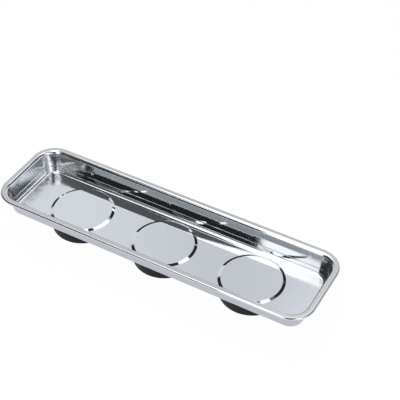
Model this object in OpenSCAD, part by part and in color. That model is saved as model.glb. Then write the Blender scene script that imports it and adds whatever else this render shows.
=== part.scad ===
// Magnetic parts tray: a pressed stainless pan on three rubber-booted magnetic feet.
// Origin: centre of the tray, on the surface that the rubber feet stand on. +X runs along the tray.

/* [Pan] */
// Length over the rim
pan_l = 350; // [320:1:450]
// Width over the rim
pan_w = 99; // [92:1:120]
// Thickness of the stainless sheet
sheet_t = 0.7; // [0.5:0.05:1]
// Depth from the top of the rim to the floor
pan_depth = 24; // [18:0.5:40]
// Inside radius between wall and floor
floor_fillet = 3.2; // [2:0.1:5]
// Radius of the corners of the floor's flat, round which the corners of the wall and the rim are drawn
floor_corner_r = 10; // [4:0.5:20]

/* [Rim] */
// Width of the flat between the bend and the rolled edge
rim_flat = 2.4; // [1.2:0.1:4]
// Radius on top of the bend from wall to rim
rim_bend = 3.7; // [2:0.1:6]
// Outside radius of the rolled edge
roll_r = 1.5; // [1.2:0.05:2.2]
// Width of the lip that the roll turns back under the rim
hem_w = 2; // [1.5:0.1:3]

/* [Raised discs] */
// Distance from the end of the rim to the centre of the nearest disc
disc_end = 77; // [60:1:90]
// Radius at the foot of the step
disc_r = 33.3; // [30:0.1:36]
// Width of the floor's flat past the foot of a disc
disc_margin = 1.7; // [1:0.1:4]
// Height above the floor
disc_h = 1.1; // [0.6:0.1:1.5]
// Width of the sloping step
disc_step = 2.6; // [1.4:0.1:3]

/* [Rubber boots] */
// Height of a foot under the pan
boot_h = 17.2; // [15:0.1:25]
// Thickness of the face that stands on the surface
boot_face_t = 2.9; // [2:0.1:4]
// Thickness of the side wall, near the face
boot_wall = 2.6; // [2:0.1:4]
// How much wider the boot is where its skirt starts than near its face
boot_taper = 0.4; // [0:0.1:1]
// How far the skirt flares out against the pan
skirt_flare = 2.2; // [1:0.1:3]
// Height of the flare, with its lip
skirt_h = 5.5; // [3:0.1:8]
// Thickness of the skirt at its edge
skirt_lip = 1; // [0.5:0.1:2]
// Rounding of the edge of the face
boot_edge = 1.8; // [1:0.1:2.5]
// Radius of the innermost grip groove in the face
groove_first_r = 9.4; // [7:0.1:12]
// Distance between neighbouring grooves
groove_pitch = 2.4; // [1.8:0.1:4]
// Width of a groove
groove_w = 1; // [0.5:0.1:1.4]
// Depth of a groove
groove_depth = 0.5; // [0.3:0.1:1]
// Radius of the vent hole
vent_r = 1.75; // [1:0.05:3]

/* [Magnets] */
// Distance from the top of a disc's step in to the side of the steel cup
cup_margin = 1.2; // [0.5:0.1:3]
// Thickness of the cup's side wall
cup_wall = 1.5; // [1:0.1:2]
// Thickness of the cup's base
cup_base = 1.5; // [1:0.1:2.5]
// Rounding around the cup's base, left by drawing
cup_corner = 2; // [1.6:0.1:3]
// Gap around the ring magnet, which holds its glue
magnet_gap = 0.5; // [0.1:0.1:1]
// Depth of the magnet's face inside the cup's edge
magnet_recess = 0.4; // [0.1:0.1:1]
// Radius of the magnet's bore
magnet_bore_r = 12; // [9:0.1:16]

/* [Fasteners] */
// Radius of the stud's shank
stud_r = 3; // [2.5:0.1:3.5]
// Length of the stud past its nut
stud_end = 2.3; // [1:0.1:3]
// Radius of the stud's welding flange
stud_flange_r = 3.8; // [3.6:0.1:4.5]
// Thickness of the welding flange
stud_flange_t = 0.9; // [0.5:0.1:1]
// Chamfer at the free end of the stud
stud_chamfer = 0.8; // [0.3:0.1:1.2]
// Outside radius of the flat washer
washer_r = 6.5; // [5.5:0.1:8]
// Thickness of the flat washer
washer_t = 1.6; // [1:0.1:2]
// Outside radius of the spring washer
spring_washer_r = 5.8; // [5:0.1:7]
// Thickness of the spring washer
spring_washer_t = 1.6; // [1:0.1:2]
// Width of the split in the spring washer
spring_washer_split = 1.2; // [0.6:0.1:2]
// Width of the nut across its flats
nut_width = 10; // [9:0.1:12]
// Height of the nut
nut_h = 5; // [4:0.1:5.5]

/* [Fits] */
// Gap between a boot and the cup that it is stretched over
boot_fit = 0.2; // [0.1:0.05:0.3]
// Gap around a stud in its nut
thread_fit = 0.1; // [0.05:0.05:0.2]
// Gap around a stud in its washers and around its flange in the cup
hole_fit = 0.3; // [0.2:0.05:0.5]

/* [Hidden] */
$fn = 96;
// Extra length of a cut past the face that it opens
overrun = 1;

// Heights
floor_under_z = boot_h;
floor_z = floor_under_z + sheet_t;
rim_z = floor_z + pan_depth;
seat_z = floor_under_z + disc_h;

// Wall section: s runs outwards and is zero at the outside of the rim, z is the height.
// The discs set the width of the floor, and the wall is the line that touches both the bend and the fillet.
floor_inset = pan_w / 2 - disc_r - disc_margin;
bend_at = [-(roll_r + rim_flat), rim_z - rim_bend];
fillet_at = [-floor_inset, floor_z + floor_fillet];
bend_to_fillet = bend_at - fillet_at;
bend_direction = atan2(bend_to_fillet[1], bend_to_fillet[0]);
wall_lean = acos((rim_bend + floor_fillet) / norm(bend_to_fillet)) - bend_direction;
wall_in = [-cos(wall_lean), sin(wall_lean)];

// Places of the corners and feet
corner_r = floor_corner_r + floor_inset;
corner_x = pan_l / 2 - corner_r;
corner_y = pan_w / 2 - corner_r;
disc_pitch = pan_l / 2 - disc_end;
LEFT = -disc_pitch;
MIDDLE = 0;
RIGHT = disc_pitch;

// Radii of a foot, from the disc in to the magnet, and back out through the boot
cup_r = disc_r - disc_step - cup_margin;
magnet_r = cup_r - cup_wall - magnet_gap;
boot_r = cup_r + boot_fit + boot_wall;
waist_r = boot_r + boot_taper;

// The step of a disc follows the sheet's thickness on its underside
disc_slope = atan(disc_h / disc_step);
disc_under_r = disc_r - sheet_t * tan(disc_slope / 2);

// Stack of a foot, from the disc down
cup_h = seat_z - boot_face_t - boot_fit;
magnet_t = cup_h - cup_base - magnet_recess;
cup_hole_r = stud_flange_r + hole_fit;
cup_floor_z = seat_z - cup_base;
washer_z = cup_floor_z - washer_t;
spring_washer_z = washer_z - spring_washer_t;
nut_z = spring_washer_z - nut_h;
stud_l = seat_z - nut_z + stud_end;

// The flare of a skirt is an arc that starts along the boot's side
flare_up = skirt_h - skirt_lip;
flare_r = (skirt_flare ^ 2 + flare_up ^ 2) / (2 * skirt_flare);

// Grip grooves that the flat of a boot's face has room for
groove_room = boot_r - boot_edge - groove_w - groove_first_r;
groove_count = 1 + floor(groove_room / groove_pitch);

STAINLESS = "#c3c8cf";
ZINC = "#a9adb0";
FERRITE = "#3a3a3d";
RUBBER = "#1e2226";

// All that lies under one face of the sheet, from the flat of the floor to the flat of the rim.
// The face that shows from above has depth zero, and its back lies sheet_t deeper.
module under_face(depth, past) {
    bend_r = rim_bend - depth;
    fillet_r = floor_fillet + depth;
    rim_level = rim_z - depth;
    floor_level = floor_z - depth;
    wall_top = bend_at + bend_r * wall_in;
    wall_foot = fillet_at - fillet_r * wall_in;
    inner_s = -floor_inset - sheet_t - past;
    outer_s = past - roll_r;
    base_z = floor_under_z - overrun - past;
    intersection() {
        translate(bend_at) circle(bend_r);
        translate(bend_at - [bend_r, bend_r]) square([bend_r, 2 * bend_r]);
    }
    polygon([
        bend_at,
        wall_top,
        wall_foot,
        [wall_foot[0], base_z],
        [outer_s, base_z],
        [outer_s, rim_level],
        [bend_at[0], rim_level]
    ]);
    difference() {
        polygon([
            wall_foot,
            [outer_s, wall_foot[1]],
            [outer_s, base_z],
            [inner_s, base_z],
            [inner_s, floor_level],
            [-floor_inset, floor_level]
        ]);
        translate(fillet_at) circle(fillet_r);
    }
}

// The rolled edge, with the lip that it turns back under the flat of the rim
module roll_section() {
    difference() {
        union() {
            translate([-roll_r, rim_z - roll_r]) circle(roll_r);
            translate([bend_at[0], rim_z - sheet_t]) square([rim_flat, sheet_t]);
            translate([-roll_r - hem_w, rim_z - 2 * roll_r]) square([hem_w, sheet_t]);
        }
        translate([-roll_r, rim_z - roll_r]) circle(roll_r - sheet_t);
        translate([bend_at[0], rim_z - 2 * roll_r + sheet_t]) square([rim_flat, 2 * (roll_r - sheet_t)]);
    }
}

// Section of the sheet from the turned-under lip, over the rim and down the wall to the floor
module wall_section() {
    roll_section();
    difference() {
        under_face(0, 0);
        under_face(sheet_t, overrun);
    }
}

// The wall section carried round the four sides and corners
module wall_ring() {
    for (side = [-1, 1]) {
        rotate(side * 90) translate([0, pan_l / 2, 0]) rotate([90, 0, 90])
            linear_extrude(2 * corner_y, center = true) wall_section();
        rotate(90 - side * 90) translate([0, pan_w / 2, 0]) rotate([90, 0, 90])
            linear_extrude(2 * corner_x, center = true) wall_section();
    }
    for (x_side = [0, 1], y_side = [0, 1])
        mirror([x_side, 0, 0]) mirror([0, y_side, 0]) translate([corner_x, corner_y, 0])
            rotate_extrude(angle = 90) translate([corner_r, 0]) wall_section();
}

// Flat of the floor, inside the fillet
module floor_plate() {
    half_l = pan_l / 2 - floor_inset;
    half_w = pan_w / 2 - floor_inset;
    translate([0, 0, floor_under_z]) linear_extrude(sheet_t) {
        square([2 * half_l, 2 * corner_y], center = true);
        square([2 * corner_x, 2 * half_w], center = true);
        for (x = [-corner_x, corner_x], y = [-corner_y, corner_y])
            translate([x, y]) circle(corner_r - floor_inset);
    }
}

// The sheet pressed up under a disc: a low cone, from height base_z to disc_h above it
module disc_cone(foot_r, base_z) {
    translate([0, 0, base_z]) cylinder(h = disc_h, r1 = foot_r, r2 = foot_r - disc_step);
}

module pan() {
    color(STAINLESS) difference() {
        union() {
            wall_ring();
            floor_plate();
            for (x = [LEFT, MIDDLE, RIGHT]) translate([x, 0, 0]) disc_cone(disc_r, floor_z);
        }
        for (x = [LEFT, MIDDLE, RIGHT]) translate([x, 0, 0]) {
            disc_cone(disc_under_r, floor_under_z);
            translate([0, 0, floor_under_z - overrun]) cylinder(h = overrun, r = disc_under_r);
        }
    }
}

module weld_stud(x) {
    shank_l = stud_l - stud_chamfer;
    color(ZINC) translate([x, 0, seat_z]) {
        translate([0, 0, -stud_flange_t]) cylinder(h = stud_flange_t, r = stud_flange_r);
        translate([0, 0, -shank_l]) cylinder(h = shank_l, r = stud_r);
        translate([0, 0, -stud_l]) cylinder(h = stud_chamfer, r1 = stud_r - stud_chamfer, r2 = stud_r);
    }
}

// Outside of the drawn cup, grown all round except at its base: half section, with its base at height zero
module cup_outline(grown) {
    outer_r = cup_r + grown;
    rounding = cup_corner + grown;
    straight_top = -cup_corner;
    translate([0, -cup_h - grown]) square([outer_r, cup_h + grown + straight_top]);
    translate([0, straight_top]) square([outer_r - rounding, cup_corner]);
    intersection() {
        translate([outer_r - rounding, straight_top]) circle(rounding);
        translate([0, straight_top]) square([outer_r, cup_corner]);
    }
}

module magnet_cup(x) {
    color(ZINC) translate([x, 0, seat_z]) difference() {
        rotate_extrude() cup_outline(0);
        translate([0, 0, -cup_h - overrun])
            cylinder(h = cup_h - cup_base + overrun, r = cup_r - cup_wall);
        translate([0, 0, -cup_base - overrun]) cylinder(h = cup_base + 2 * overrun, r = cup_hole_r);
    }
}

module ring_magnet(x) {
    color(FERRITE) translate([x, 0, cup_floor_z - magnet_t]) difference() {
        cylinder(h = magnet_t, r = magnet_r);
        translate([0, 0, -overrun]) cylinder(h = magnet_t + 2 * overrun, r = magnet_bore_r);
    }
}

// Flat ring that slips over a stud
module washer_ring(outer_r, thickness) {
    difference() {
        cylinder(h = thickness, r = outer_r);
        translate([0, 0, -overrun]) cylinder(h = thickness + 2 * overrun, r = stud_r + hole_fit);
    }
}

module flat_washer(x) {
    color(ZINC) translate([x, 0, washer_z]) washer_ring(washer_r, washer_t);
}

module spring_washer(x) {
    reach = 2 * spring_washer_r;
    split_tilt = atan(spring_washer_split / spring_washer_t);
    color(ZINC) translate([x, 0, spring_washer_z]) difference() {
        washer_ring(spring_washer_r, spring_washer_t);
        translate([reach / 2, 0, spring_washer_t / 2]) rotate([split_tilt, 0, 0])
            cube([reach, spring_washer_split, reach], center = true);
    }
}

module hex_nut(x) {
    color(ZINC) translate([x, 0, nut_z]) difference() {
        cylinder(h = nut_h, r = nut_width / 2 / cos(30), $fn = 6);
        translate([0, 0, -overrun]) cylinder(h = nut_h + 2 * overrun, r = stud_r + thread_fit);
    }
}

// Half section of a boot's outside, face down
module boot_outline() {
    polygon([
        [0, 0],
        [boot_r - boot_edge, 0],
        [boot_r, boot_edge],
        [waist_r, boot_h - skirt_h],
        [waist_r, boot_h],
        [0, boot_h]
    ]);
    translate([boot_r - boot_edge, boot_edge]) circle(boot_edge);
    translate([waist_r, boot_h - skirt_lip]) square([skirt_flare, skirt_lip]);
    difference() {
        translate([waist_r, boot_h - skirt_h]) square([skirt_flare, flare_up]);
        translate([waist_r + flare_r, boot_h - skirt_h]) circle(flare_r);
    }
}

module grip_grooves() {
    for (i = [0 : groove_count - 1])
        rotate_extrude()
            translate([groove_first_r + i * groove_pitch - groove_w / 2, -overrun])
                square([groove_w, overrun + groove_depth]);
}

module rubber_boot(x) {
    color(RUBBER) translate([x, 0, 0]) difference() {
        rotate_extrude() boot_outline();
        translate([0, 0, seat_z]) rotate_extrude() cup_outline(boot_fit);
        translate([0, 0, -overrun]) cylinder(h = boot_h, r = vent_r);
        grip_grooves();
    }
}

pan();
weld_stud(LEFT);  // left_weld_stud
weld_stud(MIDDLE);  // middle_weld_stud
weld_stud(RIGHT);  // right_weld_stud
magnet_cup(LEFT);  // left_magnet_cup
magnet_cup(MIDDLE);  // middle_magnet_cup
magnet_cup(RIGHT);  // right_magnet_cup
ring_magnet(LEFT);  // left_ring_magnet
ring_magnet(MIDDLE);  // middle_ring_magnet
ring_magnet(RIGHT);  // right_ring_magnet
flat_washer(LEFT);  // left_flat_washer
flat_washer(MIDDLE);  // middle_flat_washer
flat_washer(RIGHT);  // right_flat_washer
spring_washer(LEFT);  // left_spring_washer
spring_washer(MIDDLE);  // middle_spring_washer
spring_washer(RIGHT);  // right_spring_washer
hex_nut(LEFT);  // left_hex_nut
hex_nut(MIDDLE);  // middle_hex_nut
hex_nut(RIGHT);  // right_hex_nut
rubber_boot(LEFT);  // left_rubber_boot
rubber_boot(MIDDLE);  // middle_rubber_boot
rubber_boot(RIGHT);  // right_rubber_boot
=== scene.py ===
# %% [markdown]
# # A magnetic parts tray
# A mechanic's tray for loose screws: one sheet of stainless steel, pressed into a long shallow pan,
# on three magnets that hide in black rubber boots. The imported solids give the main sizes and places.
# This lesson gives the tray its looks: a smooth mesh for the pressed sheet, moulded boots, their
# finishes, and a small photo studio, because polished steel looks like whatever stands round it.

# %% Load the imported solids
import math

import bmesh
import bpy
from mathutils import Matrix, Vector


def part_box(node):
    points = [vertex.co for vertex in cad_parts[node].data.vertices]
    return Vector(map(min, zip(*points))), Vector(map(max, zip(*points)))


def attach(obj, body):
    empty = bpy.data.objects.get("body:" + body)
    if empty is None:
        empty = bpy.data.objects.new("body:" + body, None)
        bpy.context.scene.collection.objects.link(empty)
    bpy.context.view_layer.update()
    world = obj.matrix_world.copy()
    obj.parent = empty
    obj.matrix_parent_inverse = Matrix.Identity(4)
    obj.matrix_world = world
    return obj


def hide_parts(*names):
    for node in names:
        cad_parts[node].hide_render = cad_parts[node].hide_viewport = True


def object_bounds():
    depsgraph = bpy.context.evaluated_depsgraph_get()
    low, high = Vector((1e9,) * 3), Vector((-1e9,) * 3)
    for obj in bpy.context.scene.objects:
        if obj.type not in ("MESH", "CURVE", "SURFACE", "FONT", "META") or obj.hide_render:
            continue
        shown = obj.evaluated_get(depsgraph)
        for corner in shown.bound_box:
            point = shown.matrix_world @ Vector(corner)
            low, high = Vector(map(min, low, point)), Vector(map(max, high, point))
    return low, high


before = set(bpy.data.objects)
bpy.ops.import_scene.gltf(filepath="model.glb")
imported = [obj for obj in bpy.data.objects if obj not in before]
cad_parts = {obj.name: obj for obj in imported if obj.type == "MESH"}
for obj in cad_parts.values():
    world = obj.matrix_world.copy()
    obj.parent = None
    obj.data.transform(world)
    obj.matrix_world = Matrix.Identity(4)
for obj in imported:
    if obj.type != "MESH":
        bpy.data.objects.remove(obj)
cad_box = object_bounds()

mm = 0.001
box_size = [round(edge / mm, 2) for edge in cad_box[1] - cad_box[0]]
print("solids:", len(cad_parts), "box:", box_size, "mm")

# %% [markdown]
# ## Sizes
# The solids say how long, wide and high the tray is and where its feet stand. A pressed sheet also has
# a thickness and bends of its own, which a box can't tell, so those few sizes are repeated here.

# %% Sizes of the pressed sheet
pan_low, pan_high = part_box("pan")
half_length = pan_high.x
half_width = pan_high.y
rim_z = pan_high.z
sheet = 0.7 * mm
floor_z = pan_low.z + sheet
roll_radius = 1.5 * mm
hem_width = 2 * mm
rim_flat = 2.4 * mm
bend_radius = 3.7 * mm
fillet_radius = 3.2 * mm
floor_inset = 14.5 * mm
corner_radius = 24.5 * mm
hair = 0.01 * mm
print("pan depth:", round((rim_z - floor_z) / mm, 2), "mm")

# %% Places and sizes of the discs
feet = {side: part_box(side + "_rubber_boot") for side in ("left", "middle", "right")}
foot_x = {side: (low.x + high.x) / 2 for side, (low, high) in feet.items()}
disc_radius = 33.3 * mm
disc_height = 1.1 * mm
print("feet at:", {side: round(x / mm, 2) for side, x in foot_x.items()}, "mm")

# %% [markdown]
# ## Camera
# The photograph looks down into the tray from its right front. The bearing, height and distance were
# found by matching the rim and the three discs. The lens follows from a focal length in pixels of an
# image 400 pixels wide, because Blender's lens is in millimetres of a 36 mm sensor.

# %% Camera
bearing = math.radians(28.569)
height_angle = math.radians(42.201)
roll = math.radians(1.027)
camera_distance = 1017.688 * mm
aim_right = 35.241 * mm
aim_up = 25.46 * mm
focal_pixels = 1034.345
image_pixels = 400

level_right = Vector((math.cos(bearing), math.sin(bearing), 0))
back = Vector((math.sin(bearing), -math.cos(bearing), math.tan(height_angle))).normalized()
level_up = back.cross(level_right)
right = level_right * math.cos(roll) + level_up * math.sin(roll)
up = level_up * math.cos(roll) - level_right * math.sin(roll)

bpy.ops.object.camera_add()
camera = bpy.context.object
camera.data.lens = focal_pixels / image_pixels * camera.data.sensor_width
camera_place = right * aim_right + up * aim_up + back * camera_distance + Vector((0, 0, rim_z))
camera_turn = Matrix((right, up, back)).transposed().to_4x4()
camera.matrix_world = Matrix.Translation(camera_place) @ camera_turn
bpy.context.scene.camera = camera
print("lens:", round(camera.data.lens, 2), "mm")

# %% [markdown]
# ## Helpers for modelling
# An edit-mode operator works on whatever is selected. One helper starts a new piece from a primitive,
# and one selects the parts of its mesh that pass a test of place or kind. Two more draw the bends of a
# section and carry a face along it.

# %% Helpers for pieces
def start(primitive, name, **settings):
    """Adds a primitive as a new piece and goes into edit mode."""
    bpy.ops.object.select_all(action="DESELECT")
    primitive(**settings)
    piece = bpy.context.object
    piece.name = name
    piece.data.name = name
    bpy.ops.object.mode_set(mode="EDIT")
    return piece


def pick(kind, test):
    """Selects the vertices, edges or faces that pass a test, and returns how many there are."""
    bpy.ops.mesh.select_mode(type=kind)
    bpy.ops.mesh.select_all(action="DESELECT")
    mesh = bmesh.from_edit_mesh(bpy.context.object.data)
    parts = {"VERT": mesh.verts, "EDGE": mesh.edges, "FACE": mesh.faces}[kind]
    found = [part for part in parts if test(part)]
    for part in found:
        part.select_set(True)
    mesh.select_flush_mode()
    bmesh.update_edit_mesh(bpy.context.object.data)
    return len(found)


# %% Helpers for sections
def arc(centre, radius, first, last, steps):
    """Points of an arc in the section, from one angle to another, in degrees."""
    angles = [math.radians(first + (last - first) * step / steps) for step in range(steps + 1)]
    return [
        (centre[0] + radius * math.cos(angle), centre[1] + radius * math.sin(angle))
        for angle in angles
    ]


def draw_in(section, facing):
    """Insets the selected face from point to point of a section of (outward, height) points."""
    for (out, level), (next_out, next_level) in zip(section, section[1:]):
        bpy.ops.mesh.inset(
            thickness=out - next_out, depth=(next_level - level) * facing, use_even_offset=True
        )


# %% [markdown]
# ## The pan
# A press draws the flat sheet down over a punch, so every level of the pan is the same rounded
# rectangle, only smaller. It could be lofted from curves, but that is just what the inset operator
# makes: a flat face at the outside of the rim is inset again and again, each time with the step
# inwards and downwards that the section asks for.
# The wall isn't quite straight. Real sheet springs back and flares towards the rim, and the edge of
# the punch leaves a fine line along the foot. Both show at once in the reflections.

# %% Lean of the wall
# Height above the floor in millimetres, and the wall's lean there in degrees.
wall_leans = (
    (24, 15.5),
    (8.0, 9.5),
    (7.5, 9.5),
    (7.1, 27),
    (6.7, 11),
    (0, 13),
)
# Heights of the wall's rows of points, in millimetres. They are closer at the punch's line.
wall_heights = (18, 16, 14, 12, 10, 8.6, 8.0, 7.7, 7.4, 7.1, 6.8, 6.5, 6.0, 5.0, 4.0, 3.2)


def lean_at(height):
    """Lean of the wall in degrees, at a height above the floor."""
    for (high, lean), (low, next_lean) in zip(wall_leans, wall_leans[1:]):
        if height / mm >= low:
            return next_lean + (lean - next_lean) * (height / mm - low) / (high - low)
    return wall_leans[-1][1]


# %% Bends of the pan
roll_steps = 8
bend_steps = 16
fillet_steps = 14
roll_centre = (-roll_radius, rim_z - roll_radius)
bend_centre = (-roll_radius - rim_flat, rim_z - bend_radius)
fillet_centre = (-floor_inset, floor_z + fillet_radius)
top_lean = lean_at(bend_centre[1] - floor_z)
foot_lean = lean_at(fillet_radius)

over_roll = arc(roll_centre, roll_radius, 0, 90, roll_steps)
over_bend = arc(bend_centre, bend_radius, 90, 180 - top_lean, bend_steps)
into_floor = arc(fillet_centre, fillet_radius, -foot_lean, -90, fillet_steps)
under_roll = arc(roll_centre, roll_radius, 0, -90, roll_steps)
print("lean of the wall:", round(top_lean, 1), "degrees at the rim,", round(foot_lean, 1), "at the foot")

# %% Wall between the bends
levels = [over_bend[-1][1]] + [floor_z + height * mm for height in wall_heights] + [into_floor[0][1]]
runs = [
    math.tan(math.radians(lean_at((level + next_level) / 2 - floor_z))) * (level - next_level)
    for level, next_level in zip(levels, levels[1:])
]
stretch = (over_bend[-1][0] - into_floor[0][0]) / sum(runs)
down_wall = []
out = over_bend[-1][0]
for level, run in zip(levels[1:-1], runs):
    out -= run * stretch
    down_wall.append((out, level))
print("stretch of the wall:", round(stretch, 3))

# %% Whole section
rim_support = 0.1
hem_support = 0.15


def support(ends, near_share):
    """Adds a point close to each end of a straight stretch, so that smooth shading stays in the bends."""
    (out, level), (next_out, next_level) = ends
    return [
        (out + (next_out - out) * share, level + (next_level - level) * share)
        for share in (near_share, 1 - near_share)
    ]


pan_section = (
    over_roll
    + support((over_roll[-1], over_bend[0]), rim_support)
    + over_bend
    + down_wall
    + into_floor
    + [(into_floor[-1][0] - sheet, floor_z)]
)
hem_end = (under_roll[-1][0] - hem_width, under_roll[-1][1])
lip_section = under_roll + support((under_roll[-1], hem_end), hem_support) + [hem_end]
print("steps of the section:", len(pan_section) + len(lip_section))

# %% [markdown]
# ## The outline of the rim
# Seen from above, the rim is a rectangle with round corners. A plane is stretched to that size, and its
# corner points are bevelled. The long sides are then cut into short edges, because a face that is
# inset from very long edges shades unevenly.

# %% Drawing the pan in from its rim
corner_steps = 40
long_cuts = 31
short_cuts = 5


def rim_face(name, facing):
    """The rim's outline as one flat face at the level where the roll is widest."""
    piece = start(bpy.ops.mesh.primitive_plane_add, name, size=2)
    bpy.ops.transform.resize(value=(half_length, half_width, 1))
    bpy.ops.transform.translate(value=(0, 0, roll_centre[1]))
    bpy.ops.mesh.bevel(affect="VERTICES", offset=corner_radius, segments=corner_steps, profile=0.5)
    for axis, cuts in ((0, long_cuts), (1, short_cuts)):
        pick("EDGE", lambda edge: abs(edge.verts[0].co[axis] - edge.verts[1].co[axis]) > corner_radius)
        bpy.ops.mesh.subdivide(number_cuts=cuts)
    pick("FACE", lambda face: True)
    if facing < 0:
        bpy.ops.mesh.flip_normals()
    return piece


pan = rim_face("pressed_pan", 1)
draw_in(pan_section, 1)
pan.update_from_editmode()
print("pan so far:", len(pan.data.vertices), "points")

# %% [markdown]
# ## The raised discs
# Each magnet's seat is a disc pressed up by a millimetre. A filled circle is added at each foot and
# inset up a step. The step is a straight slope with a small rounding at its foot and one at its top,
# and the angle of that slope decides what each side of the disc mirrors. The flat of the floor then
# fills what is left between the circles and the wall.

# %% Step round a disc
disc_points = 144
rounding_steps = 5
step_rounding = 0.35 * mm
step_slope = 20
disc_top = floor_z + disc_height
steepest = math.radians(step_slope)
rounded_rise = 2 * step_rounding * (1 - math.cos(steepest))
step_width = 2 * step_rounding * math.sin(steepest) + (disc_height - rounded_rise) / math.tan(steepest)
foot_centre = (disc_radius, floor_z + step_rounding)
top_centre = (disc_radius - step_width, disc_top - step_rounding)
disc_section = (
    [(disc_radius + step_rounding, floor_z)]
    + arc(foot_centre, step_rounding, -90, -90 - step_slope, rounding_steps)
    + arc(top_centre, step_rounding, 90 - step_slope, 90, rounding_steps)
    + [(disc_radius - step_width - step_rounding, disc_top)]
)
print("step of a disc:", round(step_width / mm, 2), "mm wide")

# %% Raised discs and the floor round them
bpy.ops.mesh.delete(type="ONLY_FACE")
for x in foot_x.values():
    bpy.ops.mesh.primitive_circle_add(
        vertices=disc_points, radius=disc_section[0][0], fill_type="NGON", location=(x, 0, floor_z)
    )
    bpy.ops.mesh.select_mode(type="FACE")
    draw_in(disc_section, 1)

floor_edges = pick(
    "EDGE",
    lambda edge: edge.is_boundary and all(abs(point.co.z - floor_z) < hair for point in edge.verts),
)
bpy.ops.mesh.fill(use_beauty=True)
bpy.ops.object.mode_set(mode="OBJECT")
print("edges round the floor:", floor_edges, "faces:", len(pan.data.polygons))

# %% [markdown]
# ## The rolled edge
# The raw edge of the sheet is rolled under, so that nobody is cut by it. The same outline, facing
# down, is inset round the lower half of the roll and along the lip. In the corners the lip has to
# gather, and there the sheet crimps into small waves: every fourth row of points is moved up a
# little, and the rows halfway between them are moved down.

# %% Rolled edge
lip = rim_face("rolled_lip", -1)
draw_in(lip_section, -1)
bpy.ops.mesh.delete(type="FACE")
lip.update_from_editmode()
print("rolled lip:", len(lip.data.polygons), "faces")

# %% Crimps in the corners
crimp_height = 0.16 * mm
crimp_steps = 4
corner_x = half_length - corner_radius
corner_y = half_width - corner_radius
crimp_top = under_roll[roll_steps // 2][1]


def on_crimp(point, phase):
    """Whether a point of the lip lies in a corner, on a ridge or in a hollow of its waves."""
    x = abs(point.co.x) - corner_x
    y = abs(point.co.y) - corner_y
    if x < hair or y < hair or point.co.z > crimp_top:
        return False
    step = round(math.atan2(y, x) / (math.pi / 2) * corner_steps)
    return step % crimp_steps == phase


for phase, direction in ((0, 1), (crimp_steps // 2, -1)):
    moved = pick("VERT", lambda point: on_crimp(point, phase))
    bpy.ops.transform.translate(value=(0, 0, crimp_height * direction))
    print("crimp points moved:", moved)
bpy.ops.object.mode_set(mode="OBJECT")

# %% [markdown]
# ## One sheet of even thickness
# Lip and pan meet where the roll is widest. They are joined, their doubled points are merged, and the
# normals are set to point up and out before the sheet gets its thickness. Solidify then adds the
# other skin of the steel. It gives that skin the second material slot, because the two sides of
# the real sheet don't look alike.

# %% Join the lip to the pan
pan.select_set(True)
bpy.context.view_layer.objects.active = pan
bpy.ops.object.join()
bpy.ops.object.mode_set(mode="EDIT")
bpy.ops.mesh.select_all(action="SELECT")
bpy.ops.mesh.remove_doubles(threshold=hair)
bpy.ops.mesh.normals_make_consistent(inside=False)
bpy.ops.object.mode_set(mode="OBJECT")
nearly_up = 0.99
up_faces = [face for face in pan.data.polygons if face.normal.z > nearly_up]
print("pan:", len(pan.data.polygons), "faces,", len(up_faces), "face up")

# %% Thickness of the sheet
bpy.ops.object.material_slot_add()
bpy.ops.object.material_slot_add()
solid = pan.modifiers.new("sheet", "SOLIDIFY")
solid.thickness = sheet
solid.offset = -1
solid.use_even_offset = True
solid.use_quality_normals = True
solid.material_offset = 1
bpy.ops.object.modifier_apply(modifier=solid.name)
bpy.ops.object.shade_smooth()
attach(pan, "root")
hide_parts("pan")
outside = [face for face in pan.data.polygons if face.material_index == 1]
print("pan with its thickness:", len(pan.data.polygons), "faces,", len(outside), "of them outside")

# %% [markdown]
# ## The rubber boots
# A boot is moulded in one piece and stretched over its magnet. It is round, so half its section is
# drawn once, as a chain of points, and spun about the foot's axis. A cylinder with loops cut into it
# would need a step for every groove. Here each groove is four points of the chain.

# %% Sizes of a boot
boot_low, boot_high = feet["middle"]
boot_top = boot_high.z
skirt_radius = boot_high.x
skirt_flare = 2.2 * mm
skirt_height = 5.5 * mm
skirt_lip = 1 * mm
side_taper = 0.4 * mm
side_thickness = 2.6 * mm
face_thickness = 2.9 * mm
vent_radius = 1.75 * mm
first_groove = 9.4 * mm
groove_pitch = 2.4 * mm
groove_width = 1 * mm
groove_depth = 0.5 * mm
groove_count = 9
cup_corner = 2 * mm
cup_gap = 0.2 * mm
waist_radius = skirt_radius - skirt_flare
boot_radius = waist_radius - side_taper
pocket_radius = boot_radius - side_thickness
boot_size = (2 * skirt_radius, boot_top - boot_low.z)
print("boot, across and high:", [round(size / mm, 1) for size in boot_size], "mm")

# %% Skirt and pocket of a boot
flare_steps = 8
pocket_steps = 5
flare_rise = skirt_height - skirt_lip
flare_radius = (skirt_flare ** 2 + flare_rise ** 2) / (2 * skirt_flare)
flare_sweep = math.degrees(math.asin(flare_rise / flare_radius))
flare_centre = (waist_radius + flare_radius, boot_top - skirt_height)
flare = arc(flare_centre, flare_radius, 180, 180 - flare_sweep, flare_steps)

pocket_rounding = cup_corner + cup_gap
rounding_rise = cup_corner - disc_height
pocket_centre = (pocket_radius - pocket_rounding, boot_top - rounding_rise)
pocket_sweep = math.degrees(math.asin(rounding_rise / pocket_rounding))
pocket_corner = arc(pocket_centre, pocket_rounding, pocket_sweep, 0, pocket_steps)
print("flare of the skirt:", round(flare_radius / mm, 2), "mm in radius")

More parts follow.
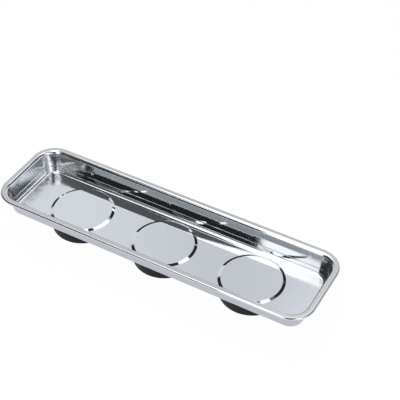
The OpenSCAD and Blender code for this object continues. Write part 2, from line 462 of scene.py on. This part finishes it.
# %% Section of a boot
boot_face = [(vent_radius, 0)]
for groove in range(groove_count):
    groove_middle = first_groove + groove * groove_pitch
    near_side = groove_middle - groove_width / 2
    far_side = groove_middle + groove_width / 2
    boot_face += [(near_side, 0), (near_side, groove_depth), (far_side, groove_depth), (far_side, 0)]
boot_section = (
    boot_face
    + [(boot_radius, 0)]
    + flare
    + [(skirt_radius, boot_top)]
    + pocket_corner
    + [(pocket_radius, face_thickness), (vent_radius, face_thickness)]
)
print("points of a boot's section:", len(boot_section))

# %% [markdown]
# ## From section to boot
# Rubber leaves its mould with soft edges. The points of the chain are bevelled before the spin, which
# is one small step for each edge that runs all round. After the spin its first and last rows are
# merged, and then the normals are set.

# %% Chain of points
def near(point, radius, level):
    """Whether a point of the section lies at a radius and a height."""
    return math.hypot(point.co.x - radius, point.co.z - level) < hair


boot = start(bpy.ops.mesh.primitive_plane_add, "middle_moulded_boot", size=2)
bpy.ops.mesh.merge(type="CENTER")
out, level = boot_section[0]
bpy.ops.transform.translate(value=(out, 0, level))
for next_out, next_level in boot_section[1:]:
    step = (next_out - out, 0, next_level - level)
    bpy.ops.mesh.extrude_region_move(TRANSFORM_OT_translate={"value": step})
    out, level = next_out, next_level
ends = pick("VERT", lambda point: near(point, *boot_section[0]) or near(point, *boot_section[-1]))
bpy.ops.mesh.edge_face_add()
print("ends of the chain joined:", ends)

# %% Soft edges
edge_radius = 1.8 * mm
soft_edge = 0.25 * mm
groove_edge = 0.12 * mm
rounded = (
    (edge_radius, 8, [(boot_radius, 0)]),
    (soft_edge, 3, [(vent_radius, 0), (skirt_radius, boot_top), flare[-1]]),
    (groove_edge, 2, boot_face[1:]),
)
for radius, segments, corners in rounded:
    found = pick("VERT", lambda point: any(near(point, *corner) for corner in corners))
    bpy.ops.mesh.bevel(affect="VERTICES", offset=radius, segments=segments, profile=0.5)
    print("edges rounded:", found)

# %% Spin a boot
spin_steps = 128
crease_angle = math.radians(50)
bpy.ops.mesh.select_all(action="SELECT")
bpy.ops.mesh.spin(steps=spin_steps, angle=math.tau, center=(0, 0, 0), axis=(0, 0, 1))
bpy.ops.mesh.select_all(action="SELECT")
bpy.ops.mesh.remove_doubles(threshold=hair)
bpy.ops.mesh.normals_make_consistent(inside=False)
bpy.ops.object.mode_set(mode="OBJECT")
bpy.ops.object.shade_smooth_by_angle(angle=crease_angle)
print("boot:", len(boot.data.polygons), "faces")

# %% [markdown]
# ## A boot for each foot
# All three boots come from one mould, so the middle one is copied to the other two feet. Each copy
# has a mesh of its own, and its place is applied to that mesh, so that the rubber's patterns don't
# repeat from boot to boot.

# %% Copies of the boot
boots = {"middle": boot}
for side in ("left", "right"):
    bpy.ops.object.select_all(action="DESELECT")
    boot.select_set(True)
    bpy.context.view_layer.objects.active = boot
    bpy.ops.object.duplicate()
    copy = bpy.context.object
    copy.name = side + "_moulded_boot"
    copy.data.name = copy.name
    bpy.ops.transform.translate(value=(foot_x[side], 0, 0))
    bpy.ops.object.transform_apply(location=True, rotation=False, scale=False)
    boots[side] = copy
for side, piece in boots.items():
    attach(piece, "root")
    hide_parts(side + "_rubber_boot")
print("boots at:", {side: round(piece.bound_box[0][0] / mm, 1) for side, piece in boots.items()})

# %% [markdown]
# ## Helpers for materials
# Colours are written as sRGB hex values, as a colour picker shows them, and Blender's nodes want
# linear values. A second helper adds one node, with its settings and its inputs, and a third starts a
# material. The patterns read Object coordinates, which are metres on the piece itself. One over a
# size in metres is then the scale that draws a pattern at that size.

# %% Helpers for materials
def linear(hex_colour):
    """Turns an sRGB hex colour to linear values."""
    values = [int(hex_colour[digit:digit + 2], 16) / 255 for digit in (1, 3, 5)]
    return tuple(
        value / 12.92 if value <= 0.04045 else ((value + 0.055) / 1.055) ** 2.4 for value in values
    ) + (1,)


def add(tree, kind, inputs=None, **settings):
    """Adds a node with its settings, and links or sets its inputs."""
    new = tree.nodes.new(kind)
    for name, value in settings.items():
        setattr(new, name, value)
    for socket, value in (inputs or {}).items():
        if isinstance(value, bpy.types.NodeSocket):
            tree.links.new(value, new.inputs[socket])
        else:
            new.inputs[socket].default_value = value
    return new


def new_material(name):
    """Starts a material, and returns it with its node tree and its Object coordinates."""
    material = bpy.data.materials.new(name)
    material.use_nodes = True
    tree = material.node_tree
    tree.nodes.clear()
    where = add(tree, "ShaderNodeTexCoord").outputs["Object"]
    return material, tree, where


# %% [markdown]
# ## Bright-annealed stainless steel
# The inside of the pan is rolled between polished rollers and annealed in clean gas, so the sheet
# comes to the press almost as a mirror. The press spoils that where the sheet flows most: both
# ends are drawn duller than the middle and get soft streaks down the wall. The rim is rubbed by
# the blank holder. A picture of such steel could be wrapped round the pan, but noise on Object
# coordinates needs no picture, and it can follow the drawing of the sheet.

# %% Where the press has dulled the sheet
bright, tree, where = new_material("bright_annealed_stainless")
dull_from = corner_x - 45 * mm
dull_to = corner_x + 10 * mm
rim_from = rim_z - 0.3 * mm
rim_to = rim_z - 0.1 * mm
axes = add(tree, "ShaderNodeSeparateXYZ", {0: where})
from_middle = add(tree, "ShaderNodeMath", {0: axes.outputs["X"]}, operation="ABSOLUTE")
drawn = add(tree, "ShaderNodeMapRange", {
    "Value": from_middle.outputs[0], "From Min": dull_from, "From Max": dull_to,
}, interpolation_type="SMOOTHSTEP")
on_rim = add(tree, "ShaderNodeMapRange", {
    "Value": axes.outputs["Z"], "From Min": rim_from, "From Max": rim_to,
})
print("drawn ends begin", round(dull_from / mm, 1), "mm from the middle")

# %% Roughness and tint of the bright steel
# To the eye: a clean mirror in the middle with faint specks, soft at both ends and greyer on the rim.
# The real pits are some hundredths of a millimetre across, and are drawn ten times as coarse to show.
pit_size = 0.35 * mm
pit_from = 0.68
pit_to = 0.72
mirror_roughness = 0.05
pit_roughness = 0.06
drawn_roughness = 0.13
rubbed_roughness = 0.12
pits = add(tree, "ShaderNodeTexNoise", {"Vector": where, "Scale": 1 / pit_size, "Detail": 1})
haze = add(tree, "ShaderNodeMapRange", {
    "Value": pits.outputs[0], "From Min": pit_from, "From Max": pit_to,
    "To Min": mirror_roughness, "To Max": pit_roughness,
})
rough = add(tree, "ShaderNodeMath", {
    0: drawn.outputs[0], 1: drawn_roughness, 2: haze.outputs[0],
}, operation="MULTIPLY_ADD")
rough = add(tree, "ShaderNodeMath", {
    0: on_rim.outputs[0], 1: rubbed_roughness, 2: rough.outputs[0],
}, operation="MULTIPLY_ADD")
tint = add(tree, "ShaderNodeMix", {
    "Factor": on_rim.outputs[0], "A": linear("#CED0D2"), "B": linear("#BDBCBB"),
}, data_type="RGBA")
print("roughness:", mirror_roughness, "in the middle,", mirror_roughness + drawn_roughness, "at the ends")

# %% Streaks down the drawn ends
# The real streaks are shallower. They are drawn deeper, so that they bend the reflections visibly.
streak_width = 6 * mm
streak_length = 60 * mm
streak_depth = 0.08 * mm
stretched = add(tree, "ShaderNodeMapping", {
    "Vector": where, "Scale": (1 / streak_width, 1 / streak_width, 1 / streak_length),
})
streaks = add(tree, "ShaderNodeTexNoise", {"Vector": stretched.outputs[0], "Scale": 1, "Detail": 0})
depth = add(tree, "ShaderNodeMath", {
    0: streaks.outputs[0], 1: drawn.outputs[0],
}, operation="MULTIPLY")
bumps = add(tree, "ShaderNodeBump", {"Height": depth.outputs[0], "Strength": 1, "Distance": streak_depth})
steel = add(tree, "ShaderNodeBsdfPrincipled", {
    "Base Color": tint.outputs["Result"], "Metallic": 1, "Roughness": rough.outputs[0],
    "Normal": bumps.outputs[0],
})
add(tree, "ShaderNodeOutputMaterial", {"Surface": steel.outputs[0]})
pan.data.materials[0] = bright
print("nodes of the bright steel:", len(tree.nodes))

# %% [markdown]
# ## Satin stainless steel
# Outside, the sheet has slid along the die. That leaves a fine grain along the tray, and the oil of
# the press leaves it a little cloudy. Noise stretched along the tray's length gives the grain, and
# a second noise, as broad as a thumb, gives the clouds.

# %% Satin stainless steel
# To the eye: an even grey sheen that takes the tone of the room and shows no clear reflection.
# The real grain is a tenth as wide as it is drawn here, which would be too fine to show.
grain_width = 0.5 * mm
grain_length = 30 * mm
grain_depth = 0.02 * mm
cloud_size = 18 * mm
satin, tree, where = new_material("satin_stainless")
stretched = add(tree, "ShaderNodeMapping", {
    "Vector": where, "Scale": (1 / grain_length, 1 / grain_width, 1 / grain_width),
})
grain = add(tree, "ShaderNodeTexNoise", {"Vector": stretched.outputs[0], "Scale": 1, "Detail": 3})
clouds = add(tree, "ShaderNodeTexNoise", {"Vector": where, "Scale": 1 / cloud_size, "Detail": 3})
mixed = add(tree, "ShaderNodeMath", {0: grain.outputs[0], 1: clouds.outputs[0]})
rough = add(tree, "ShaderNodeMapRange", {
    "Value": mixed.outputs[0], "From Min": 0.6, "From Max": 1.4, "To Min": 0.2, "To Max": 0.36,
})
bumps = add(tree, "ShaderNodeBump", {"Height": grain.outputs[0], "Strength": 0.3, "Distance": grain_depth})
steel = add(tree, "ShaderNodeBsdfPrincipled", {
    "Base Color": linear("#BABEC5"), "Metallic": 1, "Roughness": rough.outputs[0],
    "Normal": bumps.outputs[0],
})
add(tree, "ShaderNodeOutputMaterial", {"Surface": steel.outputs[0]})
pan.data.materials[1] = satin
print("nodes of the satin steel:", len(tree.nodes))

# %% [markdown]
# ## Moulded rubber
# The boots are filled black rubber, cured in a blasted steel mould. Wax and sulphur come to the
# surface with time, and this bloom makes some places greyer and duller than others. Fine noise
# in the bump gives the skin that the mould leaves, and broad noise gives the bloom.

# %% Moulded rubber
# To the eye: black with a weak, broad sheen on the skirt and slightly grey patches.
# The skin's grain is drawn several times as coarse as in the real mould, so that it shows.
skin_size = 0.8 * mm
skin_depth = 0.03 * mm
bloom_size = 14 * mm
rubber, tree, where = new_material("moulded_rubber")
skin_grain = add(tree, "ShaderNodeTexNoise", {"Vector": where, "Scale": 1 / skin_size, "Detail": 3})
bloom = add(tree, "ShaderNodeTexNoise", {"Vector": where, "Scale": 1 / bloom_size, "Detail": 4})
tint = add(tree, "ShaderNodeMix", {
    "Factor": bloom.outputs[0], "A": linear("#11161B"), "B": linear("#1A2026"),
}, data_type="RGBA")
rough = add(tree, "ShaderNodeMapRange", {"Value": bloom.outputs[0], "To Min": 0.4, "To Max": 0.6})
bumps = add(tree, "ShaderNodeBump", {
    "Height": skin_grain.outputs[0], "Strength": 0.4, "Distance": skin_depth,
})
skin = add(tree, "ShaderNodeBsdfPrincipled", {
    "Base Color": tint.outputs["Result"], "Roughness": rough.outputs[0], "Normal": bumps.outputs[0],
    "Specular IOR Level": 0.15,
})
add(tree, "ShaderNodeOutputMaterial", {"Surface": skin.outputs[0]})
for piece in boots.values():
    piece.data.materials.append(rubber)
print("nodes of the rubber:", len(tree.nodes))

# %% [markdown]
# ## Zinc plating and ferrite
# Inside each boot are a steel cup, a magnet and the parts that hold them. The solids have the right
# shape already, so they only get a finish. The steel is zinc-plated against rust, and the magnet is
# a grey ferrite, pressed from powder and fired like pottery.

# %% Zinc-plated steel
# To the eye: a light bluish metal with a faint patchwork of crystals.
# Plated crystals are too fine to see, so they are drawn as large as a pinhead.
crystal_size = 1.2 * mm
zinc, tree, where = new_material("zinc_plated_steel")
crystals = add(tree, "ShaderNodeTexVoronoi", {"Vector": where, "Scale": 1 / crystal_size})
tint = add(tree, "ShaderNodeMix", {
    "Factor": crystals.outputs["Color"], "A": linear("#A3A8AC"), "B": linear("#B4B6B4"),
}, data_type="RGBA")
rough = add(tree, "ShaderNodeMapRange", {
    "Value": crystals.outputs["Distance"], "To Min": 0.28, "To Max": 0.42,
})
steel = add(tree, "ShaderNodeBsdfPrincipled", {
    "Base Color": tint.outputs["Result"], "Metallic": 1, "Roughness": rough.outputs[0],
})
add(tree, "ShaderNodeOutputMaterial", {"Surface": steel.outputs[0]})
print("nodes of the zinc:", len(tree.nodes))

# %% Sintered ferrite
# To the eye: a dull dark grey stone with a fine tooth. Its real grains are far finer than drawn.
powder_size = 0.4 * mm
powder_depth = 0.05 * mm
ferrite, tree, where = new_material("sintered_ferrite")
powder = add(tree, "ShaderNodeTexNoise", {"Vector": where, "Scale": 1 / powder_size, "Detail": 4})
tint = add(tree, "ShaderNodeMix", {
    "Factor": powder.outputs[0], "A": linear("#2F2F32"), "B": linear("#45454A"),
}, data_type="RGBA")
bumps = add(tree, "ShaderNodeBump", {"Height": powder.outputs[0], "Strength": 0.5, "Distance": powder_depth})
stone = add(tree, "ShaderNodeBsdfPrincipled", {
    "Base Color": tint.outputs["Result"], "Roughness": 0.6, "Normal": bumps.outputs[0],
})
add(tree, "ShaderNodeOutputMaterial", {"Surface": stone.outputs[0]})
print("nodes of the ferrite:", len(tree.nodes))

# %% Finishes on the hidden solids
inside_pieces = {
    "weld_stud": zinc,
    "magnet_cup": zinc,
    "ring_magnet": ferrite,
    "flat_washer": zinc,
    "spring_washer": zinc,
    "hex_nut": zinc,
}
for side in feet:
    for kind, material in inside_pieces.items():
        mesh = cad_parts[side + "_" + kind].data
        mesh.materials.clear()
        mesh.materials.append(material)
print("solids with a new finish:", len(feet) * len(inside_pieces))

# %% [markdown]
# ## The floor
# The tray stands on white paper. Light on the steel must not depend on how white that paper looks, so
# the camera and the steel's mirror see an almost plain white, and all other light meets ordinary
# pale paint. The small share of paint that stays keeps the tray's shadow.

# %% Floor
floor_size = 6
glow_share = 0.97
bpy.ops.object.select_all(action="DESELECT")
bpy.ops.mesh.primitive_plane_add(size=floor_size)
ground = bpy.context.object
ground.name = "studio_floor"
pale, tree = new_material("pale_floor")[:2]
path = add(tree, "ShaderNodeLightPath")
sees = add(tree, "ShaderNodeMath", {
    0: path.outputs["Is Camera Ray"], 1: path.outputs["Is Glossy Ray"],
}, operation="MAXIMUM")
sees = add(tree, "ShaderNodeMath", {
    0: sees.outputs[0], 1: path.outputs["Is Transmission Ray"],
}, operation="MAXIMUM")
share = add(tree, "ShaderNodeMath", {0: sees.outputs[0], 1: glow_share}, operation="MULTIPLY")
paint = add(tree, "ShaderNodeBsdfDiffuse", {"Color": linear("#F9F9F9")})
glow = add(tree, "ShaderNodeEmission", {"Color": linear("#FFFFFF"), "Strength": 1})
both = add(tree, "ShaderNodeMixShader", {0: share.outputs[0], 1: paint.outputs[0], 2: glow.outputs[0]})
add(tree, "ShaderNodeOutputMaterial", {"Surface": both.outputs[0]})
ground.data.materials.append(pale)
print("floor:", floor_size, "m square")

# %% [markdown]
# ## The studio
# A mirror has no colour of its own, so the bands and arcs on the tray are pictures of a studio: white
# paper behind the tray, to its right and at its right front, a sheet of paper overhead, and a dark
# room everywhere else. The world draws that studio by direction. It stands square to the photograph's
# line of sight, so each direction is first turned by that bearing. Walls of real planes would do as
# well, but they would cast shadows.

# %% Directions in the studio
# Across and along say where a direction meets a ceiling one unit up: how far right and how far back.
# Outward is the bearing from straight back, and rise is the angle above the floor.
world = bpy.data.worlds.new("studio")
bpy.context.scene.world = world
world.use_nodes = True
tree = world.node_tree
tree.nodes.clear()
lowest_rise = 0.05
where = add(tree, "ShaderNodeTexCoord")
turned = add(tree, "ShaderNodeVectorRotate", {
    "Vector": where.outputs["Generated"], "Angle": -bearing,
}, rotation_type="Z_AXIS")
axes = add(tree, "ShaderNodeSeparateXYZ", {0: turned.outputs[0]})
outward = add(tree, "ShaderNodeMath", {
    0: axes.outputs["X"], 1: axes.outputs["Y"],
}, operation="ARCTAN2")
rise = add(tree, "ShaderNodeMath", {0: axes.outputs["Z"]}, operation="ARCSINE")
above = add(tree, "ShaderNodeMath", {0: axes.outputs["Z"], 1: lowest_rise}, operation="MAXIMUM")
across = add(tree, "ShaderNodeMath", {0: axes.outputs["X"], 1: above.outputs[0]}, operation="DIVIDE")
along = add(tree, "ShaderNodeMath", {0: axes.outputs["Y"], 1: above.outputs[0]}, operation="DIVIDE")
print("studio turned by", round(math.degrees(bearing), 1), "degrees")


# %% Sheets of paper
def window(measures):
    """One inside each of the measures' limits, falling to zero over a soft edge."""
    inside = None
    for measure, low, high, soft in measures:
        away = add(tree, "ShaderNodeMath", {
            0: measure.outputs[0], 1: (low + high) / 2,
        }, operation="SUBTRACT")
        away = add(tree, "ShaderNodeMath", {0: away.outputs[0]}, operation="ABSOLUTE")
        half = (high - low) / 2
        mask = add(tree, "ShaderNodeMapRange", {
            "Value": away.outputs[0], "From Min": half - soft, "From Max": half + soft,
            "To Min": 1, "To Max": 0,
        }, interpolation_type="SMOOTHSTEP")
        inside = mask if inside is None else add(tree, "ShaderNodeMath", {
            0: inside.outputs[0], 1: mask.outputs[0],
        }, operation="MULTIPLY")
    return inside


degree = math.radians(1)
backdrop = window((
    (across, -0.48, 0.48, 0.03),
    (along, 0.3, 1.75, 0.08),
))
behind = window((
    (outward, -50 * degree, 50 * degree, 8 * degree),
    (rise, -90 * degree, 34 * degree, 2 * degree),
))
beside = window((
    (outward, 50 * degree, 115 * degree, 8 * degree),
    (rise, -90 * degree, 22 * degree, 2 * degree),
))
facing = window((
    (outward, 115 * degree, 172 * degree, 8 * degree),
    (rise, -90 * degree, 50 * degree, 2 * degree),
))
ceiling = window((
    (across, -1.3, -0.43, 0.05),
    (along, -0.5, 0.4, 0.1),
))
papers = (backdrop, behind, beside, facing)
print("sheets of paper:", len(papers), "and a pale patch of ceiling")

# %% Light of the studio
# The paper is a cool white, a little dimmer in its middle, which is farthest from the lamps at its sides.
ceiling_share = 0.15
dim_middle = 0.035
dim_reach = 0.22
dim_paper = (0.87, 0.89, 0.94, 1)
lit_paper = (1.03, 1.06, 1.11, 1)
dark_room = (0.03, 0.03, 0.03, 1)
white = add(tree, "ShaderNodeMath", {0: ceiling.outputs[0], 1: ceiling_share}, operation="MULTIPLY")
for sheet_of_paper in papers:
    white = add(tree, "ShaderNodeMath", {
        0: white.outputs[0], 1: sheet_of_paper.outputs[0],
    }, operation="MAXIMUM")
from_dim = add(tree, "ShaderNodeMath", {0: across.outputs[0], 1: dim_middle}, operation="SUBTRACT")
from_dim = add(tree, "ShaderNodeMath", {0: from_dim.outputs[0]}, operation="ABSOLUTE")
lit = add(tree, "ShaderNodeMapRange", {
    "Value": from_dim.outputs[0], "From Min": 0, "From Max": dim_reach,
}, interpolation_type="SMOOTHSTEP")
paper = add(tree, "ShaderNodeMix", {
    "Factor": lit.outputs[0], "A": dim_paper, "B": lit_paper,
}, data_type="RGBA")
room = add(tree, "ShaderNodeMix", {
    "Factor": white.outputs[0], "A": dark_room, "B": paper.outputs["Result"],
}, data_type="RGBA")
path = add(tree, "ShaderNodeLightPath")
light = add(tree, "ShaderNodeMix", {
    "Factor": path.outputs["Is Camera Ray"], "A": room.outputs["Result"], "B": linear("#FFFFFF"),
}, data_type="RGBA")
background = add(tree, "ShaderNodeBackground", {"Color": light.outputs["Result"], "Strength": 1})
add(tree, "ShaderNodeOutputWorld", {"Surface": background.outputs[0]})
print("nodes of the studio:", len(tree.nodes))

# %% [markdown]
# ## Lamps
# Soft light comes from broad, flat lamps. Four hang level overhead with dark gaps between them, and two
# stand in front, tilted at the tray. Their sizes and gaps were matched to the white and black bands on
# the far wall and to the arcs on the discs. A lamp's power is worked out from its area, so that its
# brightness in the steel stays as written when its size changes.

# %% Lamps
# Place in the studio, width and height in metres, tilt and turn in degrees, brightness.
softboxes = {
    "overhead_softbox": ((0, 0.492, 1.2), 1.15, 0.456, 0, 0, 1.7),
    "left_strip": ((-0.2625, -0.12, 1.2), 0.475, 0.768, 0, 0, 2.5),
    "left_patch": ((-0.85, -0.6, 1.2), 0.55, 0.48, 0, 0, 1.7),
    "right_strip": ((0.45, -0.12, 1.2), 0.25, 0.768, 0, 0, 1.7),
    "left_softbox": ((-0.653, -1.088, 0.592), 0.575, 0.9, 65, -32, 2.3),
    "right_softbox": ((0.698, -1.034, 0.636), 0.5, 0.7, 63, 34, 1.7),
}
square_to_camera = Matrix.Rotation(bearing, 4, "Z")
for name, (spot, lamp_width, lamp_height, tilt, swing, brightness) in softboxes.items():
    bpy.ops.object.light_add(
        type="AREA",
        location=square_to_camera @ Vector(spot),
        rotation=(math.radians(tilt), 0, math.radians(swing) + bearing),
    )
    lamp = bpy.context.object
    lamp.name = name
    lamp.data.shape = "RECTANGLE"
    lamp.data.size = lamp_width
    lamp.data.size_y = lamp_height
    lamp.data.energy = brightness * math.pi * lamp_width * lamp_height
    print(name, "power:", round(lamp.data.energy, 2), "W")

# %% [markdown]
# ## Plain view
# The Standard view shows a colour as it is written.

# %% Plain view
bpy.context.scene.view_settings.view_transform = "Standard"
